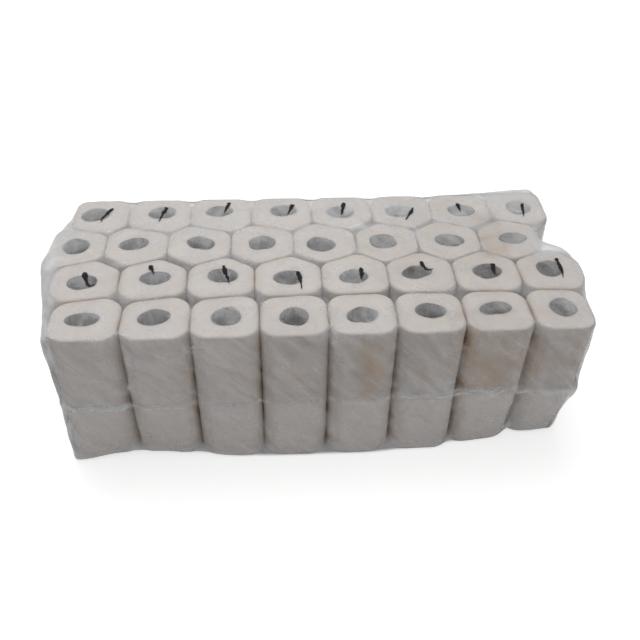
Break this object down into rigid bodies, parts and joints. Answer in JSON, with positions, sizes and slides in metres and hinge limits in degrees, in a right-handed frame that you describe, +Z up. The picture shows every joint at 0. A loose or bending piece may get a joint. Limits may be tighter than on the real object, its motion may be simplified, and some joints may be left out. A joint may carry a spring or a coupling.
{
  "type": "pack of paper towel rolls",
  "caption": "Film-wrapped pack of tall paper towel rolls standing on end in four pressed, nested rows, with a weld running round the middle of the wrap.",
  "frame": {"origin": "middle of the pack's underside", "axes": "+X along the rows of eight from left to right, +Y from the front row to the back row, +Z up the standing rolls"},
  "size_m": [0.7776, 0.3709, 0.2316],
  "materials": {
    "paper": "soft wound paper towel",
    "film": "clear, slightly hazy polyethylene film"
  },
  "bodies": {
    "root": {"roll_a1": "paper", "roll_a2": "paper", "roll_a3": "paper", "roll_a4": "paper", "roll_a5": "paper", "roll_a6": "paper", "roll_a7": "paper", "roll_a8": "paper", "roll_b1": "paper", "roll_b2": "paper", "roll_b3": "paper", "roll_b4": "paper", "roll_b5": "paper", "roll_b6": "paper", "roll_b7": "paper", "roll_b8": "paper", "roll_c1": "paper", "roll_c2": "paper", "roll_c3": "paper", "roll_c4": "paper", "roll_c5": "paper", "roll_c6": "paper", "roll_c7": "paper", "roll_c8": "paper", "roll_d1": "paper", "roll_d2": "paper", "roll_d3": "paper", "roll_d4": "paper", "roll_d5": "paper", "roll_d6": "paper", "roll_d7": "paper", "roll_d8": "paper", "film_wrap": "film"}
  },
  "joints": []
}
